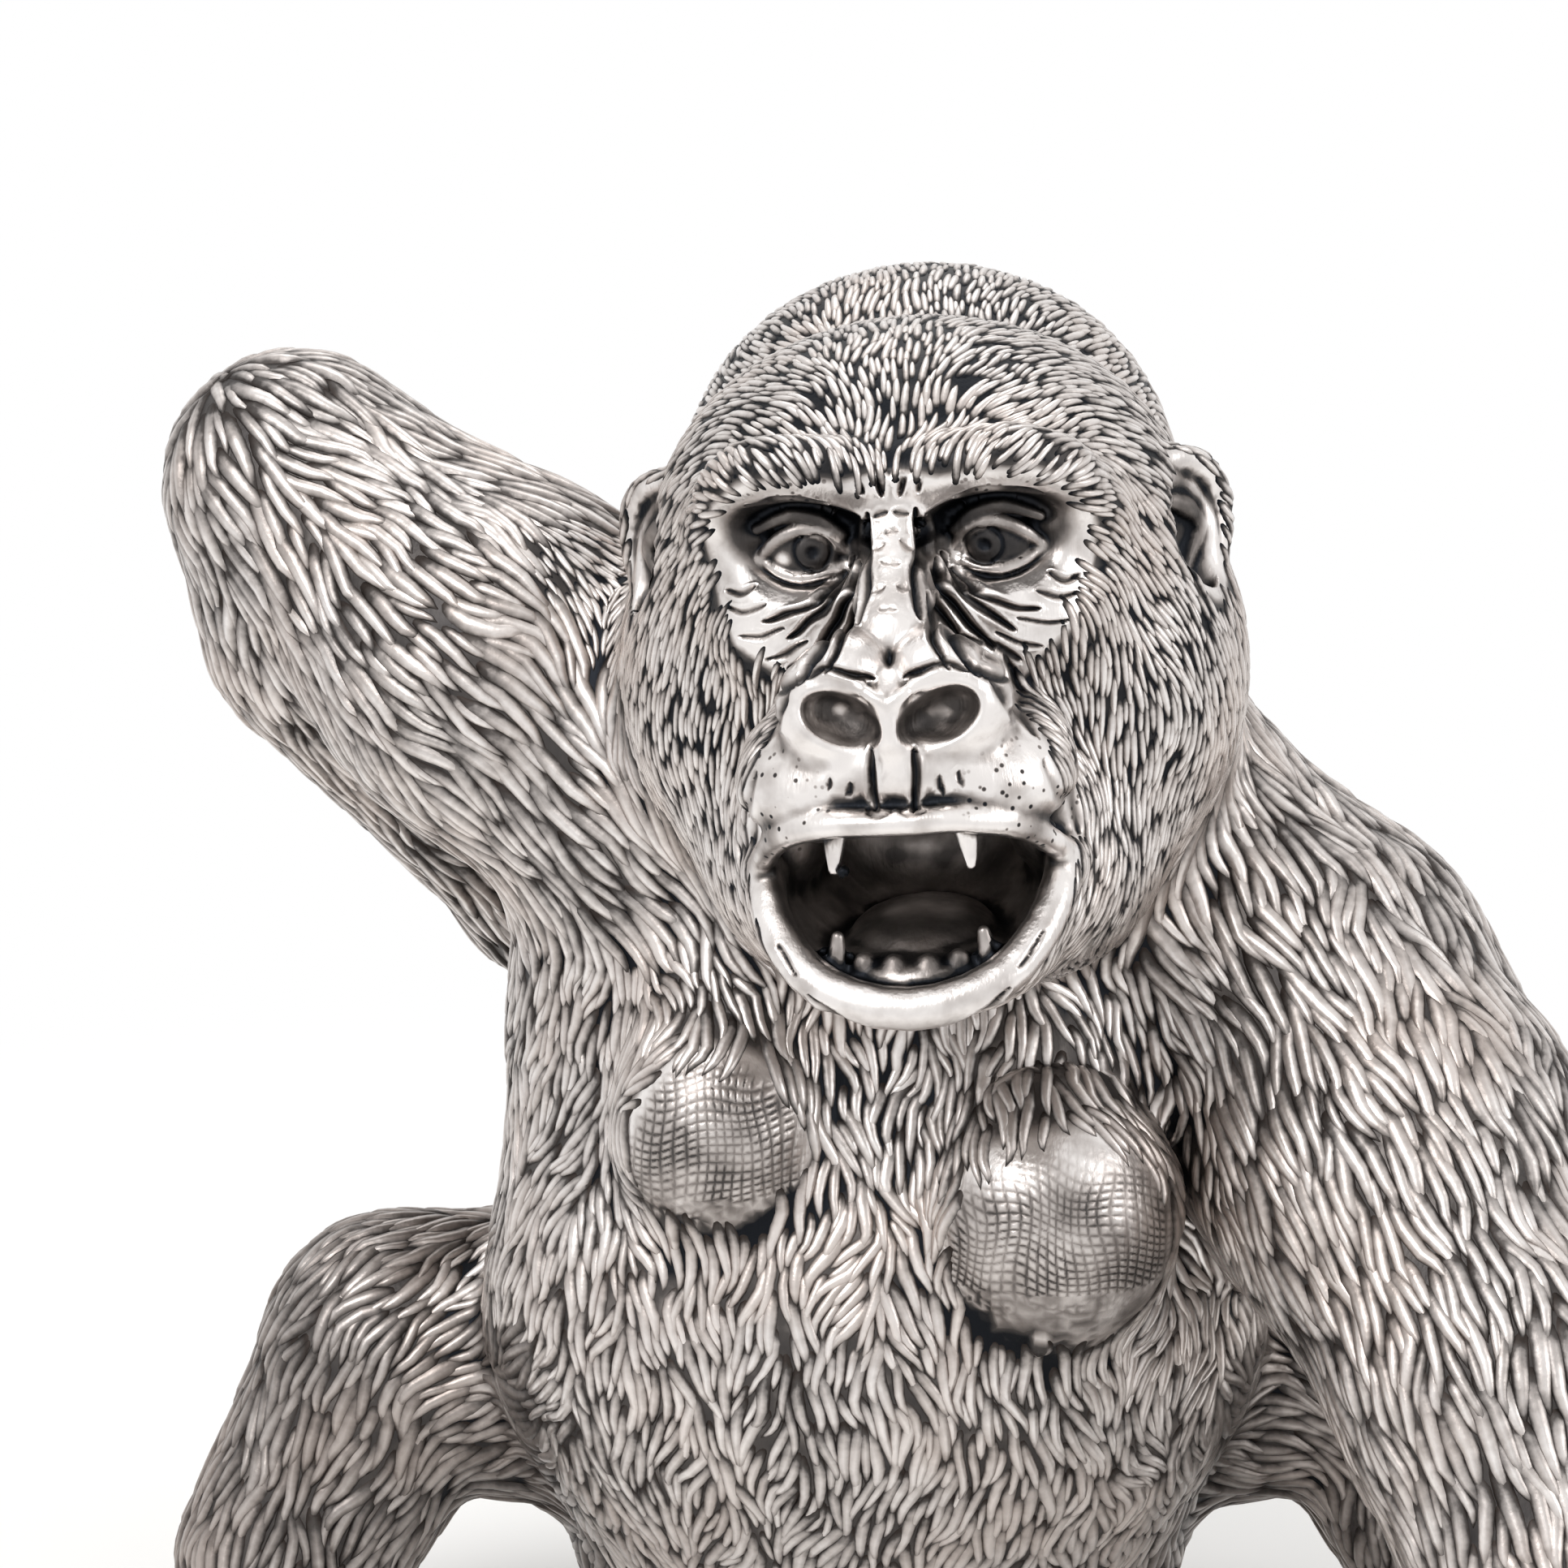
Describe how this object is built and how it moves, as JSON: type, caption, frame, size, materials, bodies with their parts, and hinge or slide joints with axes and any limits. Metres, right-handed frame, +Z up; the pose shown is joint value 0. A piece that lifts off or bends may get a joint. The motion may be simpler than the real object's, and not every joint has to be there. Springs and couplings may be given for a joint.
{
  "type": "gorilla figurine",
  "caption": "Small cast silver figurine of a seated gorilla with an open mouth, propped on its left hand, with its right hand reaching over to its back.",
  "frame": {"origin": "on the ground, under the middle of the seat", "axes": "+Z up, the figure faces -Y, its own left side is +X"},
  "size_m": [0.1047, 0.0865, 0.0983],
  "materials": {
    "silver": "cast silver, oxidised dark in the grooves and polished on the ridges"
  },
  "bodies": {
    "root": {"gorilla": "silver"}
  },
  "joints": []
}
